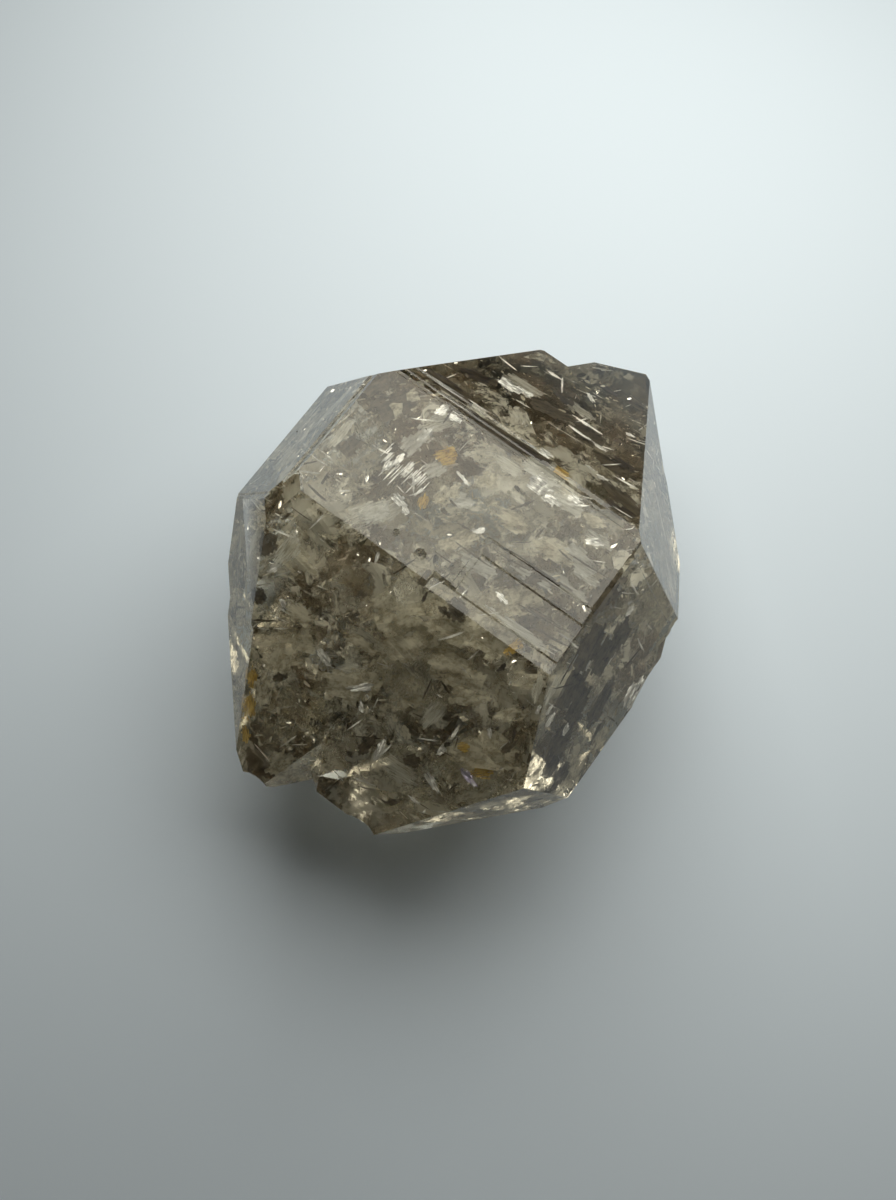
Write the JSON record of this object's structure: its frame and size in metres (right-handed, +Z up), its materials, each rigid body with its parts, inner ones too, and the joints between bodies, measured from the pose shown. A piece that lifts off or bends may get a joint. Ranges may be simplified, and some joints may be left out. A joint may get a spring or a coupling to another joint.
{
  "type": "quartz point",
  "caption": "Smoky quartz crystal, short six-sided prism with a chisel-like tip at each end, grown from two parallel crystals, with notches, ledges and chips.",
  "frame": {"origin": "middle of the bounding box at its base, on the ground that the crystal lies on", "axes": "+X along the crystal's long axis towards the tip whose sloping face on top is small, +Y to the left looking along +X, +Z up, out of the broad prism face that the picture shows"},
  "size_m": [0.0386, 0.0284, 0.022],
  "materials": {
    "smoky_quartz": "polished"
  },
  "bodies": {
    "root": {"quartz_crystal": "smoky_quartz"}
  },
  "joints": []
}
